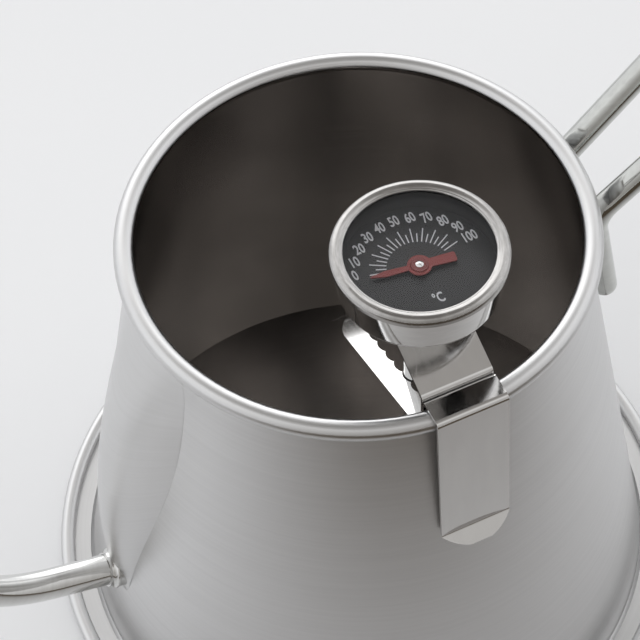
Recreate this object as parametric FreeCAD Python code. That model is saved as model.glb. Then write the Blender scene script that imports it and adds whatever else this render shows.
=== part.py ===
"""Gooseneck pour-over kettle with a clip-on dial thermometer.

Every separate piece is one node, written to parts/NODE.step in millimetres.
Origin: centre of the underside of the base. +Z is up, +X runs towards the spout,
-X towards the handle, and the thermometer hangs on the rim at +Y.
"""

import FreeCAD
import Part
import math
import os

Vec = FreeCAD.Vector
UP = Vec(0, 0, 1)

# ---- Vessel ----------------------------------------------------------------------------
SHEET = 0.8                  # stainless sheet of wall, floor and brim
BASE_R = 63.5                # outside radius of the wall where it meets the floor
RIM_Z = 107.0                # height of the centre of the rolled rim bead
RIM_R = 46.0                 # radius of the circle that the bead's centre runs on
BEAD_R = 2.05                # outside radius of the rolled bead
CURL_GAP = 0.12              # gap left where a rolled edge comes back to its own sheet
BRIM_WIDTH = 7.5             # the base brim stands out this far from the foot of the wall
HEM_R = 1.6                  # outside radius of the rolled hem of the brim
BASE_WELD = 0.7              # leg of the fillet weld between wall and brim

# ---- Spout -----------------------------------------------------------------------------
NOSE_TOP_DROP = 4.0          # the nose starts this far below the rim bead's centre
NOSE_FOOT_Z = 20.0           # height of the lowest point of the nose
NOSE_REACH = 6.8             # how far the nose stands out from the wall at its fullest
NOSE_EDGE = 0.35             # thickness of the nose's edge where it lies on the wall
NOSE_TOP_HALF = 15.7         # half width near the top
NOSE_FOOT_HALF = 5.2         # half width at the foot
NOSE_SHOULDER = 0.2          # share of the height that keeps the full width
NOSE_UPPER_POWER = 1.0       # fullness of the profile above its widest place
NOSE_LOWER_POWER = 0.9       # fullness below it
NOSE_WIDTH_POWER = 1.6       # how the width falls away below the shoulder
NOSE_SHEET = 0.7             # sheet of the nose
NOSE_CLOSED_END = 4.0        # the nose is closed over this height at its top and its foot
NOSE_SECTIONS = 11           # level sections that the nose is lofted through
NOSE_FRONT_STEPS = 8         # steps across the curve of each section
STRAINER_HOLE_R = 1.8        # holes through the wall behind the nose
STRAINER_PITCH = 5.2         # hole to hole along a row
STRAINER_ROW_STEP = 8.0      # row to row
STRAINER_ROWS = 4            # rows of 1, 2, 3 ... holes, counted from the foot
TUBE_R = 3.4                 # outside radius of the spout tube
TUBE_WALL = 0.6
TUBE_ROOT_Z = 25.0           # height where the tube leaves the nose
TUBE_ROOT_ANGLE = 15.5       # rise of the tube's first run, degrees
TUBE_INSERT = 1.2            # length of tube inside the nose
TUBE_ROOT_RUN = 14.0         # straight run before the first bend
TUBE_LOW_BEND_R = 38.0
TUBE_RISE_ANGLE = 72.0       # slope of the long rising run, degrees
TUBE_TOP_BEND_R = 18.0
TUBE_TIP_ANGLE = -20.0       # slope at the tip: it points a little down
TUBE_TOP_DROP = 2.8          # the tube's highest centre line lies this far below the rim bead's centre
TUBE_TIP_CUT = 1.2           # the upright cut at the tip, back from the end of the centre line
FIT = 0.03                   # clearance between two pieces that are pushed together
COLLAR_R = 4.5               # flared ring where the tube enters the nose
COLLAR_LENGTH = 2.0
COLLAR_LIP = 0.7             # thickness of the ring's wide lip
COLLAR_LIP_BULGE = 0.2       # the lip's edge bulges by this much
COLLAR_FLARE_SAG = 0.25      # hollow of the flare between lip and narrow end
COLLAR_END_WALL = 0.35       # thickness of the ring at its narrow end
COLLAR_SKIRT = 2.2           # the ring reaches this far back before it is trimmed to the nose

# ---- Handle: one bent rod ----------------------------------------------------------------
ROD_R = 2.7
ROD_SPREAD = 7.9             # distance of each limb from the middle plane, at the top of its leg
ROD_WALL_GAP = 0.1           # gap that the weld fills between a leg and the wall
LEG_LENGTH = 20.7            # straight leg that lies down the wall
LEG_TOP_DROP = 17.2          # the leg ends this far below the rim bead's centre
LEG_BEND_R = 8.0
HANDLE_SPLAY = 3.5           # each limb turns outwards by this angle, degrees
HANDLE_RISE_ANGLE = 41.0
HANDLE_RISE_RUN = 30.0
HANDLE_CROWN_R = 24.0
HANDLE_DROP_ANGLE = -70.0
HANDLE_DROP_RUN = 60.0
LEG_WELD_R = 1.3
LEG_WELD_LENGTH = 15.0

# ---- Clip of the thermometer ---------------------------------------------------------------
CLIP_WIDTH = 14.8
CLIP_SHEET = 0.6
CLIP_RIM_GAP = 0.22          # clearance between the hook and the rim bead
CLIP_BEND_R = 0.9            # centre-line radius of the sharp folds
HOOK_OUTER_DROP = 34.7       # from the bridge down to the fold of the lip
HOOK_LIP_R = 1.0
HOOK_LIP_ANGLE = 42.0        # the lip flares away from the wall
HOOK_LIP_RUN = 3.5
HOOK_LIP_ROUND = 11.5        # radius of the lip's curved end
HOOK_WALL_GAP = 0.3          # clearance between the hook's lip fold and the wall
HOOK_INNER_DROP = 7.4        # inner leg of the hook, below the bridge
ARM_ANGLE = 22.8             # the upper arm climbs inwards at this angle
ARM_RUN = 24.0
ARM_FOLD_RISE = 0.9          # top of the upper fold above the bridge
ARM_END_R = 4.5              # rounding of the upper arm's free corners
LEAF_ANGLE = 18.0            # the lower leaf falls inwards at this angle
LEAF_RUN = 41.0
LEAF_END_R = 6.2             # rounding of the leaf's free corners
FOOT_RUN = 10.0              # upright stretch between arm and leaf, riveted to the hook
NOTCH_PITCH = 3.7            # the leaf's slot is a row of round notches
NOTCH_CLEARANCE = 0.25
NOTCHES_INWARD = 4           # notches beyond the one that holds the stem, towards the middle
NOTCHES_OUTWARD = 2
RIVET_R = 1.1
RIVET_SPREAD = 4.0           # each rivet's distance from the middle plane
RIVET_DROP = 4.4             # below the bridge
RIVET_HEAD_R = 1.7
RIVET_HEAD = 0.3

# ---- Thermometer ---------------------------------------------------------------------------
STEM_INSET = 19.4            # stem axis, measured inwards from the rim bead's centre
STEM_R = 3.0
STEM_WALL = 0.5
STEM_RUN_CLEARANCE = 0.08    # stem in the hole of the upper arm
STEM_TIP_GAP = 13.0          # stem tip above the kettle's floor
STEM_DOME = 1.8              # height of the probe's rounded tip
STEM_IN_CASE = 1.3           # stem standing up inside the case
CASE_LIFT = 6.4              # case floor above the upper arm, at the stem
CASE_R = 15.9
CASE_FLOOR_R = 15.5          # the case narrows slightly to its floor
CASE_SHEET = 0.6
CASE_DEPTH = 9.1
CASE_CORNER_R = 1.0
CASE_SEAT = 0.3              # the case is straight inside from this far below the dial
FERRULE_R = 4.0
FERRULE_LENGTH = 2.2
FERRULE_WALL = 0.6           # thickness of the ferrule at its lower end
FERRULE_CONE = 1.3           # height of the ferrule's tapered part
BEZEL_R = 16.6
BEZEL_WINDOW_R = 13.95
BEZEL_LIP = 0.9              # thickness of the bezel over the lens
BEZEL_ROLL_R = 1.3           # rounding of the bezel's outer edge
BEZEL_LIP_DROP = 0.35        # the lip falls by this much towards the window
BEZEL_LIP_BULGE = 0.08       # the lip is crowned by this much
BEZEL_SKIRT = 1.1            # overlap of the bezel down the case
BEZEL_WINDOW_ROUND = 0.4     # rounding of the lip's inner edge
LENS_T = 1.2
GASKET_T = 0.5
DIAL_T = 0.4
DIAL_DEPTH = 4.1             # dial face below the underside of the lens
SEAT_GAP = 0.1               # radial gap of the loose discs in the case
RING_WIDTH = 0.9             # width of the two spacer rings
SPINDLE_R = 0.5
SPINDLE_CLEARANCE = 0.05
DIAL_HOLE_CLEARANCE = 0.2    # spindle in the hole of the dial
BUSH_LENGTH = 4.0
COIL_LENGTH = 28.0           # bimetal coil
COIL_CLEARANCE = 0.47        # coil inside the bore of the stem
COIL_WIRE_R = 0.28
COIL_TURNS = 9
CARRIER_T = 0.5              # disc of the spindle that the coil's upper end is fixed to
BUSH_GAP = 0.7               # gap between that disc and the lower guide
PLUG_LENGTH = 4.0
POINTER_LIFT = 0.55          # pointer above the dial
POINTER_T = 0.25
POINTER_TIP_R = 9.4
POINTER_TAIL_R = 7.0
POINTER_TAIL_WIDTH = 1.8     # width of the tail beside the hub
POINTER_TAIL_END = 2.2       # width of the tail at its end
POINTER_TAIL_ROUND = 0.4     # rounding of the tail's corners
POINTER_TIP_WIDTH = 0.24
POINTER_NECK_WIDTH = 0.9     # needle beside the hub
POINTER_WAIST_WIDTH = 1.35   # needle at its widest
POINTER_WAIST_R = 6.4
POINTER_HUB_R = 2.3
POINTER_REST_ANGLE = -8.5    # direction of the needle at rest, from +X
HUB_RIM_T = 0.2
HUB_RIM_R = 1.75
HUB_CHAMFER = 0.15
PIN_HEAD_R = 0.75
PIN_HEAD_T = 0.3
PIN_EDGE = 0.1               # height of the cap's straight edge


def unit(degrees):
    """Unit vector (across, up) at an angle from level."""
    return math.cos(math.radians(degrees)), math.sin(math.radians(degrees))


# ---- Derived sizes -------------------------------------------------------------------------
BRIM_R = BASE_R + BRIM_WIDTH
WALL_FOOT_Z = SHEET
_across = BASE_R - RIM_R
_height = RIM_Z - WALL_FOOT_Z
LEAN = math.atan2(_across, _height) + math.asin((BEAD_R - SHEET) / math.hypot(_across, _height))
LEAN_DEG = math.degrees(LEAN)
WALL_LEVEL = SHEET / math.cos(LEAN)      # wall thickness measured level
RIM_TOP = RIM_Z + BEAD_R

STEM_Y = RIM_R - STEM_INSET
HALF_CLIP = CLIP_WIDTH / 2
HOOK_OUT_Y = RIM_R + BEAD_R + CLIP_RIM_GAP + CLIP_SHEET / 2
BEAD_INSIDE_Y = math.sqrt((RIM_R - BEAD_R) ** 2 - HALF_CLIP ** 2)
HOOK_IN_Y = BEAD_INSIDE_Y - CLIP_RIM_GAP - CLIP_SHEET / 2
BRIDGE_Z = RIM_TOP + CLIP_RIM_GAP + CLIP_SHEET / 2
FOOT_Y = HOOK_IN_Y - CLIP_SHEET


def wall_radius(z):
    """Outside radius of the wall at height z."""
    return BASE_R - (z - WALL_FOOT_Z) * math.tan(LEAN)


class Route:
    """A line of straight runs and tangent arcs in one upright plane."""

    def __init__(self, across, up, heading):
        self.across = across
        self.up = up
        self.heading = heading
        self.pieces = []

    def _station(self):
        return self.across, self.up, self.heading

    def run(self, length):
        """Goes straight ahead."""
        start = self._station()
        ahead = unit(self.heading)
        self.across += ahead[0] * length
        self.up += ahead[1] * length
        self.pieces.append((start, self._station()))
        return self

    def bend(self, radius, turn):
        """Follows an arc; a positive turn is to the left, in degrees."""
        start = self._station()
        self._swing(radius, turn / 2)
        middle = self._station()
        self._swing(radius, turn / 2)
        self.pieces.append((start, middle, self._station()))
        return self

    def _swing(self, radius, turn):
        side = math.copysign(90, turn)
        to_centre = unit(self.heading + side)
        centre = (self.across + radius * to_centre[0], self.up + radius * to_centre[1])
        self.heading += turn
        from_centre = unit(self.heading - side)
        self.across = centre[0] + radius * from_centre[0]
        self.up = centre[1] + radius * from_centre[1]

    def edges(self, place, shift=0.0):
        """Edges of the line moved to its left by shift; place maps (across, up) to a point."""
        made = []
        for piece in self.pieces:
            points = [self._moved(station, place, shift) for station in piece]
            if len(points) == 2:
                made.append(Part.LineSegment(*points).toShape())
            else:
                made.append(Part.Arc(*points).toShape())
        return made

    @staticmethod
    def _moved(station, place, shift):
        across, up, heading = station
        left = unit(heading + 90)
        return place(across + left[0] * shift, up + left[1] * shift)


def strip(route, thickness, width, place, along):
    """Sheet of one thickness that follows a route, as wide as width, centred on it."""
    half = along * (width / 2)
    left = route.edges(place, thickness / 2)
    right = route.edges(place, -thickness / 2)
    start = Part.LineSegment(right[0].firstVertex(True).Point, left[0].firstVertex(True).Point)
    end = Part.LineSegment(left[-1].lastVertex(True).Point, right[-1].lastVertex(True).Point)
    outline = Part.Wire(Part.__sortEdges__(left + right + [start.toShape(), end.toShape()]))
    face = Part.Face(outline)
    face.translate(half * -1)
    return face.extrude(along * width)


def rod(edges, radius):
    """Round bar along a line of edges."""
    first = edges[0]
    start = first.firstVertex(True).Point
    ahead = first.tangentAt(first.FirstParameter)
    if first.Orientation == "Reversed":
        ahead = ahead * -1
    circle = Part.Wire(Part.Circle(start, ahead, radius).toShape())
    return Part.Wire(edges).makePipeShell([circle], True, False)


def turned(points):
    """Solid of revolution about Z from (radius, height) corners."""
    corners = [Vec(r, 0, z) for r, z in points]
    face = Part.Face(Part.makePolygon(corners + corners[:1]))
    return face.revolve(Vec(0, 0, 0), UP, 360)


def turned_edges(edges):
    """Solid of revolution about Z from closed profile edges in the XZ plane."""
    face = Part.Face(Part.Wire(Part.__sortEdges__(edges)))
    return face.revolve(Vec(0, 0, 0), UP, 360)


def line(a, b):
    """Straight profile edge between two (radius, height) points."""
    return Part.LineSegment(Vec(a[0], 0, a[1]), Vec(b[0], 0, b[1])).toShape()


def arc(centre, radius, first, last):
    """Profile arc between two angles in degrees, in the sense that they are given."""
    points = []
    for angle in (first, (first + last) / 2, last):
        across, up = unit(angle)
        points.append(Vec(centre[0] + radius * across, 0, centre[1] + radius * up))
    return Part.Arc(*points).toShape()


def dome(rim_r, rim_z, crown_z):
    """Profile arc of a shallow dome, from its rim to its crown on the axis."""
    rise = abs(crown_z - rim_z)
    radius = (rim_r * rim_r + rise * rise) / (2 * rise)
    half_angle = math.asin(rim_r / radius) / 2
    drop = radius * (1 - math.cos(half_angle))
    middle_z = crown_z - math.copysign(drop, crown_z - rim_z)
    middle = Vec(radius * math.sin(half_angle), 0, middle_z)
    return Part.Arc(Vec(rim_r, 0, rim_z), middle, Vec(0, 0, crown_z)).toShape()


def bowed(a, b, sag):
    """Profile arc from a to b; its middle stands off the straight line by sag, to the left."""
    length = math.hypot(b[0] - a[0], b[1] - a[1])
    left = ((a[1] - b[1]) / length, (b[0] - a[0]) / length)
    middle = ((a[0] + b[0]) / 2 + sag * left[0], (a[1] + b[1]) / 2 + sag * left[1])
    return Part.Arc(*[Vec(r, 0, z) for r, z in (a, middle, b)]).toShape()


def on_circle(centre, radius, angle):
    """Point at an angle on a profile circle."""
    across, up = unit(angle)
    return centre[0] + radius * across, centre[1] + radius * up


def disc(radius, low, high):
    """Plain cylinder about Z."""
    return Part.makeCylinder(radius, high - low, Vec(0, 0, low))


def ring(outer, inner, low, high):
    """Plain ring about Z."""
    return disc(outer, low, high).cut(disc(inner, low, high))


def side_plane(across, up):
    """Upright plane through the kettle's axis, spout side."""
    return Vec(across, 0, up)


def clip_plane(across, up):
    """Upright plane through the kettle's axis, thermometer side."""
    return Vec(0, across, up)


# ---- Vessel pieces -------------------------------------------------------------------------
def strainer_places():
    """(offset from the middle, height) of each hole behind the nose."""
    places = []
    for row in range(STRAINER_ROWS):
        height = TUBE_ROOT_Z + row * STRAINER_ROW_STEP
        for number in range(row + 1):
            places.append(((number - row / 2) * STRAINER_PITCH, height))
    return places


def body_shell():
    """Tapered wall with its edge rolled outwards into a round bead."""
    centre = (RIM_R, RIM_Z)
    inside = 180 + LEAN_DEG
    curl_inner = BEAD_R - SHEET
    clear = math.degrees(math.acos((curl_inner + CURL_GAP) / BEAD_R))
    end = inside - 360 + clear
    foot_in = (BASE_R - WALL_LEVEL, WALL_FOOT_Z)
    foot_out = (BASE_R, WALL_FOOT_Z)
    shell = turned_edges([
        line(foot_in, foot_out),
        line(foot_out, on_circle(centre, curl_inner, inside)),
        arc(centre, curl_inner, inside, end),
        line(on_circle(centre, curl_inner, end), on_circle(centre, BEAD_R, end)),
        arc(centre, BEAD_R, end, inside),
        line(on_circle(centre, BEAD_R, inside), foot_in),
    ])
    for offset, height in strainer_places():
        start = Vec(BASE_R / 2, offset, height)
        shell = shell.cut(Part.makeCylinder(STRAINER_HOLE_R, BASE_R, start, Vec(1, 0, 0)))
    return shell


def base_pan():
    """Flat floor that runs on as a brim, with its edge rolled up into a hem."""
    centre = (BRIM_R - HEM_R, HEM_R)
    curl_inner = HEM_R - SHEET
    end = 180 + math.degrees(math.asin((curl_inner - CURL_GAP) / HEM_R))
    return turned_edges([
        line((0, 0), (centre[0], 0)),
        arc(centre, HEM_R, -90, end),
        line(on_circle(centre, HEM_R, end), on_circle(centre, curl_inner, end)),
        arc(centre, curl_inner, end, -90),
        line((centre[0], SHEET), (0, SHEET)),
        line((0, SHEET), (0, 0)),
    ])


def base_weld():
    """Fillet weld that joins the wall's foot to the brim."""
    upper_z = WALL_FOOT_Z + BASE_WELD
    return turned([
        (BASE_R, WALL_FOOT_Z), (BASE_R + BASE_WELD, WALL_FOOT_Z), (wall_radius(upper_z), upper_z),
    ])


def wall_block():
    """Everything inside the wall's outer face, as a cutting block."""
    top = RIM_Z - BEAD_R
    return turned([(0, -SHEET), (wall_radius(-SHEET), -SHEET), (wall_radius(top), top), (0, top)])


# ---- Spout pieces --------------------------------------------------------------------------
def nose_top():
    """Height of the nose's upper edge."""
    return RIM_Z - NOSE_TOP_DROP


def nose_share(z):
    """0 at the nose's upper edge, 1 at its foot."""
    return (nose_top() - z) / (nose_top() - NOSE_FOOT_Z)


def nose_half_width(z):
    """Half width of the nose where it lies on the wall."""
    share = min(max((nose_share(z) - NOSE_SHOULDER) / (1 - NOSE_SHOULDER), 0), 1)
    fall = math.cos(math.pi / 2 * share) ** NOSE_WIDTH_POWER
    return NOSE_FOOT_HALF + (NOSE_TOP_HALF - NOSE_FOOT_HALF) * fall


def nose_reach(z):
    """How far the nose's ridge stands out from the wall."""
    share = min(max(nose_share(z), 0), 1)
    power = NOSE_UPPER_POWER if share < 0.5 else NOSE_LOWER_POWER
    return NOSE_EDGE + (NOSE_REACH - NOSE_EDGE) * math.sin(math.pi * share) ** power


def nose_section(z, inset):
    """Level outline of the nose: a crowned front and a straight back inside the wall."""
    half = nose_half_width(z) - inset
    reach = nose_reach(z) - inset
    wall = wall_radius(z)
    front = []
    for step in range(NOSE_FRONT_STEPS + 1):
        t = 2 * step / NOSE_FRONT_STEPS - 1
        y = half * t
        sunk = -NOSE_EDGE * t * t
        front.append(Vec(math.sqrt(wall * wall - y * y) + reach * (1 - t * t) + sunk, y, z))
    curve = Part.BSplineCurve()
    curve.interpolate(front)
    back = math.sqrt(wall * wall - half * half) - 2 * SHEET
    corners = [front[-1], Vec(back, half, z), Vec(back, -half, z), front[0]]
    sides = [Part.LineSegment(corners[i], corners[i + 1]).toShape() for i in range(3)]
    return Part.Wire([curve.toShape()] + sides)


def nose_block(inset, low, high):
    """Solid lofted through level sections between two heights."""
    sections = []
    for number in range(NOSE_SECTIONS):
        z = low + (high - low) * number / (NOSE_SECTIONS - 1)
        sections.append(nose_section(z, inset))
    return Part.makeLoft(sections, True, False)


def tube_route():
    """Centre line of the spout tube, from inside the nose to the tip."""
    root = (wall_radius(TUBE_ROOT_Z) + nose_reach(TUBE_ROOT_Z), TUBE_ROOT_Z)
    ahead = unit(TUBE_ROOT_ANGLE)
    route = Route(root[0] - TUBE_INSERT * ahead[0], root[1] - TUBE_INSERT * ahead[1], TUBE_ROOT_ANGLE)
    route.run(TUBE_INSERT + TUBE_ROOT_RUN)
    route.bend(TUBE_LOW_BEND_R, TUBE_RISE_ANGLE - TUBE_ROOT_ANGLE)
    top_rise = TUBE_TOP_BEND_R * (1 - unit(TUBE_RISE_ANGLE)[0])
    climb = RIM_Z - TUBE_TOP_DROP - top_rise - route.up
    route.run(climb / unit(TUBE_RISE_ANGLE)[1])
    route.bend(TUBE_TOP_BEND_R, TUBE_TIP_ANGLE - TUBE_RISE_ANGLE)
    return route


def along_root(shape):
    """Moves a shape made about Z at the origin to the tube's root, pointing along the tube."""
    root = Vec(wall_radius(TUBE_ROOT_Z) + nose_reach(TUBE_ROOT_Z), 0, TUBE_ROOT_Z)
    shape.Placement = FreeCAD.Placement(root, FreeCAD.Rotation(Vec(0, 1, 0), 90 - TUBE_ROOT_ANGLE))
    return shape


def spout_nose():
    """Pressed, hollow nose welded over the strainer holes."""
    shell = nose_block(0, NOSE_FOOT_Z, nose_top())
    inside = nose_block(NOSE_SHEET, NOSE_FOOT_Z + NOSE_CLOSED_END, nose_top() - NOSE_CLOSED_END)
    shell = shell.cut(inside)
    shell = shell.cut(wall_block())
    bore = along_root(disc(TUBE_R + FIT, -2 * TUBE_INSERT, 4 * TUBE_INSERT))
    return largest(shell.cut(bore))


def spout_collar():
    """Flared ring that covers the joint between nose and tube."""
    inner = TUBE_R + FIT
    lip = COLLAR_R - COLLAR_LIP_BULGE
    narrow = (inner + COLLAR_END_WALL, COLLAR_LENGTH)
    made = turned_edges([
        line((inner, -COLLAR_SKIRT), (lip, -COLLAR_SKIRT)),
        line((lip, -COLLAR_SKIRT), (lip, 0)),
        bowed((lip, 0), (lip, COLLAR_LIP), -COLLAR_LIP_BULGE),
        bowed((lip, COLLAR_LIP), narrow, COLLAR_FLARE_SAG),
        line(narrow, (inner, COLLAR_LENGTH)),
        line((inner, COLLAR_LENGTH), (inner, -COLLAR_SKIRT)),
    ])
    seated = along_root(made).cut(nose_block(0, NOSE_FOOT_Z, nose_top()))
    return largest(seated.cut(wall_block()))


def spout_tube():
    """Gooseneck tube, cut off upright at the tip."""
    edges = tube_route().edges(side_plane)
    tube = rod(edges, TUBE_R).cut(rod(edges, TUBE_R - TUBE_WALL))
    tip = edges[-1].lastVertex(True).Point
    cutter = Part.makeBox(4 * TUBE_R, 4 * TUBE_R, 4 * TUBE_R)
    cutter.translate(Vec(tip.x - TUBE_TIP_CUT, -2 * TUBE_R, tip.z - 2 * TUBE_R))
    return largest(tube.cut(cutter))


# ---- Handle pieces -------------------------------------------------------------------------
def leg_across(z):
    """Distance of a leg's centre line from the middle of the kettle, along X."""
    out = wall_radius(z) + (ROD_R + ROD_WALL_GAP) / math.cos(LEAN)
    return math.sqrt(out * out - ROD_SPREAD * ROD_SPREAD)


def handle_route():
    """Centre line of one limb, from the leg's lower end to the closing bend."""
    top_z = RIM_Z - LEG_TOP_DROP
    low_z = top_z - LEG_LENGTH * math.cos(LEAN)
    lean_in = math.degrees(math.atan2(top_z - low_z, leg_across(top_z) - leg_across(low_z)))
    route = Route(leg_across(low_z), low_z, lean_in)
    route.run(math.hypot(top_z - low_z, leg_across(top_z) - leg_across(low_z)))
    route.bend(LEG_BEND_R, HANDLE_RISE_ANGLE - lean_in)
    route.run(HANDLE_RISE_RUN)
    route.bend(HANDLE_CROWN_R, HANDLE_DROP_ANGLE - HANDLE_RISE_ANGLE)
    route.run(HANDLE_DROP_RUN)
    return route


def limb(side):
    """Edges of one limb, in a plane that turns outwards by the splay; side is 1 or -1."""
    hinge = leg_across(RIM_Z - LEG_TOP_DROP)
    ahead = unit(HANDLE_SPLAY)

    def place(across, up):
        out = across - hinge
        return Vec(-hinge - out * ahead[0], side * (ROD_SPREAD + out * ahead[1]), up)

    return handle_route().edges(place)


def closing_bend(near_end, far_end):
    """Arc that joins the two limbs, tangent to both."""
    level, up_ahead = unit(handle_route().heading)
    inwards, outwards = unit(HANDLE_SPLAY)
    ahead = Vec(-level * inwards, 0, up_ahead)
    splay = level * outwards
    radius = near_end.y / ahead.Length
    middle = (near_end + far_end) * 0.5
    return Part.Arc(near_end, middle + ahead.normalize() * (radius * (1 + splay)), far_end).toShape()


def handle_loop():
    """One round rod: two legs, two limbs and the closing bend, with rounded ends."""
    near = limb(1)
    far = limb(-1)
    closing = closing_bend(near[-1].lastVertex(True).Point, far[-1].lastVertex(True).Point)
    path = Part.Wire(Part.__sortEdges__(near + [closing] + far))
    start = near[0].firstVertex(True).Point
    ahead = near[0].lastVertex(True).Point - start
    circle = Part.Wire(Part.Circle(start, ahead, ROD_R).toShape())
    made = path.makePipeShell([circle], True, False)
    for end in (start, far[0].firstVertex(True).Point):
        made = made.fuse(Part.makeSphere(ROD_R, end))
    return largest(made.removeSplitter())


def handle_welds(handle):
    """Fillet welds that fill the corner between each leg and the wall."""
    block = wall_block()
    welds = []
    for side in (1, -1):
        leg = limb(side)[0]
        low = leg.firstVertex(True).Point
        high = leg.lastVertex(True).Point
        ahead = (high - low).normalize()
        inward = Vec(-low.x, -low.y, 0).normalize()
        inward = (inward - ahead * inward.dot(ahead)).normalize()
        lower_end = ((high - low).Length - LEG_WELD_LENGTH) / 2
        start = low + inward * (ROD_R + ROD_WALL_GAP / 2) + ahead * lower_end
        bead = Part.makeCylinder(LEG_WELD_R, LEG_WELD_LENGTH, start, ahead)
        welds.append(largest(bead.cut(handle).cut(block)))
    return Part.makeCompound(welds)


# ---- Clip pieces ---------------------------------------------------------------------------
def rounded_end(shape, end_y, inward_sign, radius, low, high):
    """Rounds the two free corners of a strip that ends at end_y."""
    for side in (1, -1):
        corner = Part.makeBox(radius, radius, high - low)
        x = HALF_CLIP - radius if side > 0 else -HALF_CLIP
        y = end_y if inward_sign > 0 else end_y - radius
        corner.translate(Vec(x, y, low))
        keep = Part.makeCylinder(
            radius, high - low, Vec(side * (HALF_CLIP - radius), end_y + inward_sign * radius, low)
        )
        shape = shape.cut(corner.cut(keep))
    return shape


def rim_hook():
    """Strip bent over the rim: outer leg with a flared lip, bridge and short inner leg."""
    middle = (HOOK_OUT_Y + HOOK_IN_Y) / 2
    half_bridge = (HOOK_OUT_Y - HOOK_IN_Y) / 2 - CLIP_BEND_R
    fold_z = BRIDGE_Z - HOOK_OUTER_DROP
    fold_y = wall_radius(fold_z) + HOOK_WALL_GAP + CLIP_SHEET / 2
    slope = math.degrees(math.atan2(fold_y - HOOK_OUT_Y, HOOK_OUTER_DROP - CLIP_BEND_R))
    outer = Route(middle, BRIDGE_Z, 0)
    outer.run(half_bridge)
    outer.bend(CLIP_BEND_R, slope - 90)
    outer.run((outer.up - fold_z) / unit(slope)[0])
    outer.bend(HOOK_LIP_R, HOOK_LIP_ANGLE)
    outer.run(HOOK_LIP_RUN)
    inner = Route(middle, BRIDGE_Z, 180)
    inner.run(half_bridge)
    inner.bend(CLIP_BEND_R, 90)
    inner.run(HOOK_INNER_DROP - CLIP_BEND_R)
    hook = strip(outer, CLIP_SHEET, CLIP_WIDTH, clip_plane, Vec(1, 0, 0))
    round_z = outer.up + HOOK_LIP_ROUND
    keep = Part.makeCylinder(HOOK_LIP_ROUND, 2 * RIM_R, Vec(0, RIM_R / 2, round_z), Vec(0, 1, 0))
    keep = keep.fuse(Part.makeBox(CLIP_WIDTH, 2 * RIM_R, 2 * RIM_Z, Vec(-HALF_CLIP, RIM_R / 2, round_z)))
    hook = hook.common(keep)
    hook = hook.fuse(strip(inner, CLIP_SHEET, CLIP_WIDTH, clip_plane, Vec(1, 0, 0)))
    return largest(hook.removeSplitter())


def arm_route():
    """Centre line of the stem clip: upper arm, foot and lower leaf, starting at the arm's free end."""
    fold_z = BRIDGE_Z + ARM_FOLD_RISE
    shoulder_y = FOOT_Y - CLIP_BEND_R * (1 - unit(90 - ARM_ANGLE)[0])
    route = Route(
        shoulder_y - ARM_RUN * unit(ARM_ANGLE)[0], fold_z + ARM_RUN * unit(ARM_ANGLE)[1], -ARM_ANGLE
    )
    route.run(ARM_RUN)
    route.bend(CLIP_BEND_R, ARM_ANGLE - 90)
    route.run(FOOT_RUN)
    route.bend(CLIP_BEND_R, LEAF_ANGLE - 90)
    route.run(LEAF_RUN)
    return route


def arm_height(y):
    """Height of the upper arm's middle surface at a distance y from the kettle's axis."""
    route = arm_route()
    start_y, start_z, _ = route.pieces[0][0]
    return start_z - (y - start_y) * math.tan(math.radians(ARM_ANGLE))


def stem_clip():
    """Folded strip that holds the stem: a hole in the upper arm, a notched slot in the leaf."""
    route = arm_route()
    clip = strip(route, CLIP_SHEET, CLIP_WIDTH, clip_plane, Vec(1, 0, 0))
    middle_z = BRIDGE_Z - FOOT_RUN / 2
    bottom = middle_z - 2 * LEAF_RUN
    top = middle_z + 2 * ARM_RUN
    clip = clip.cut(Part.makeCylinder(STEM_R + STEM_RUN_CLEARANCE, top - middle_z, Vec(0, STEM_Y, middle_z)))
    for number in range(-NOTCHES_INWARD, NOTCHES_OUTWARD + 1):
        at = Vec(0, STEM_Y + number * NOTCH_PITCH, bottom)
        clip = clip.cut(Part.makeCylinder(STEM_R + NOTCH_CLEARANCE, middle_z - bottom, at))
    clip = rounded_end(clip, route.pieces[0][0][0], 1, ARM_END_R, middle_z, top)
    return largest(rounded_end(clip, route.across, 1, LEAF_END_R, bottom, middle_z))


def clip_rivets():
    """Two rivets with low heads through the hook's inner leg and the stem clip's foot."""
    z = BRIDGE_Z - RIVET_DROP
    outside = HOOK_IN_Y + CLIP_SHEET / 2
    inside = FOOT_Y - CLIP_SHEET / 2
    rivets = []
    for side in (1, -1):
        x = side * RIVET_SPREAD
        shank = Part.makeCylinder(RIVET_R, outside - inside, Vec(x, inside, z), Vec(0, 1, 0))
        heads = [
            Part.makeCone(RIVET_HEAD_R, RIVET_R, RIVET_HEAD, Vec(x, outside, z), Vec(0, 1, 0)),
            Part.makeCone(RIVET_HEAD_R, RIVET_R, RIVET_HEAD, Vec(x, inside, z), Vec(0, -1, 0)),
        ]
        rivets.append(shank.multiFuse(heads).removeSplitter())
    return rivets


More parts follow.
